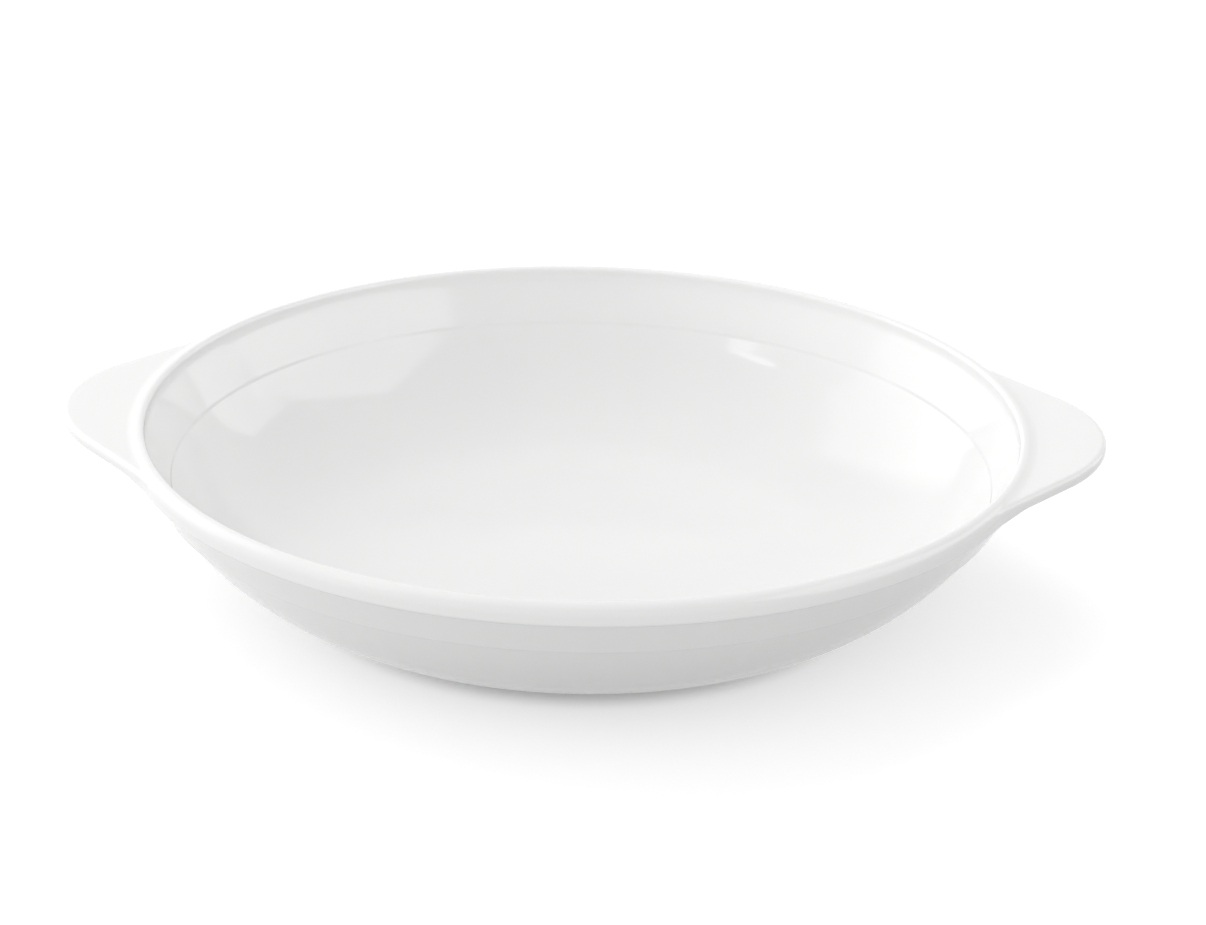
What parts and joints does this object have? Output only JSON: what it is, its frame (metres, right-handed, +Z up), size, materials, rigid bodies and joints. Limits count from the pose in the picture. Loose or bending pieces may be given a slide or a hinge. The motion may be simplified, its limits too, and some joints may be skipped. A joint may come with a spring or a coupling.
{
  "type": "eared serving dish",
  "caption": "Round white porcelain serving dish with a stepped, flared wall, a rounded overhanging lip, a low foot ring and a flat ear handle on each side of the rim.",
  "frame": {"origin": "middle of the foot ring, on the surface that the dish stands on", "axes": "+X towards the right ear, +Y away from the viewer of the picture, +Z up through the middle of the dish"},
  "size_m": [0.3, 0.26, 0.052],
  "materials": {
    "glazed_porcelain": "white porcelain under a clear gloss glaze, bare on the foot ring's standing face"
  },
  "bodies": {
    "root": {"dish_body": "glazed_porcelain", "left_ear": "glazed_porcelain", "right_ear": "glazed_porcelain"}
  },
  "joints": []
}
